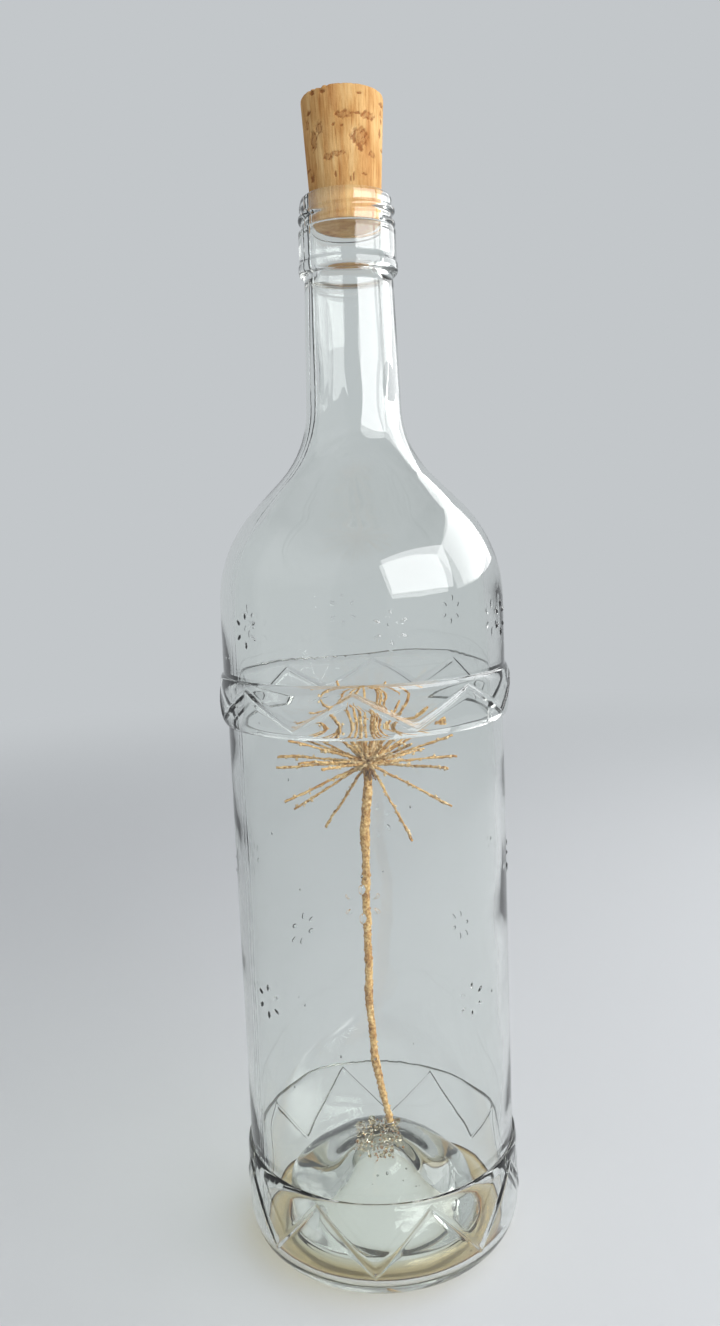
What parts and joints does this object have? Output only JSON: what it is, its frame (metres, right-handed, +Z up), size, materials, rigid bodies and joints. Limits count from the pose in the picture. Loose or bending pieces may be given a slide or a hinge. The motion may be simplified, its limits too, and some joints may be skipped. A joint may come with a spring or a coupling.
{
  "type": "corked glass bottle",
  "caption": "Clear pressed-glass bottle with raised zigzag belts, a tapered cork that lifts out, and a dried umbel sprig standing in sugar inside.",
  "frame": {"origin": "on the bottle's axis, in the plane that it stands on", "axes": "+Z up along the bottle's axis, -Y towards the viewer of the picture, +X to their right"},
  "size_m": [0.086, 0.086, 0.3362],
  "materials": {
    "clear_glass": "clear pressed soda-lime glass, faintly green in its thick edges",
    "natural_cork": "natural cork, cut and tapered, with open pores",
    "dried_stalk": "dry straw-coloured plant stem with crumbs of sugar",
    "sugar_crystal": "clear to brownish sugar crystals",
    "amber_liquor": "thin amber liquor"
  },
  "bodies": {
    "bottle": {"glass_bottle": "clear_glass", "dried_sprig": "dried_stalk", "sugar_crust": "sugar_crystal", "liquor_residue": "amber_liquor"},
    "cork": {"cork_stopper": "natural_cork"}
  },
  "joints": [
    {"name": "cork_pull", "type": "slide", "parent": "bottle", "child": "cork", "axis": [0, 0, 1], "range_m": [0, 0.05]}
  ]
}
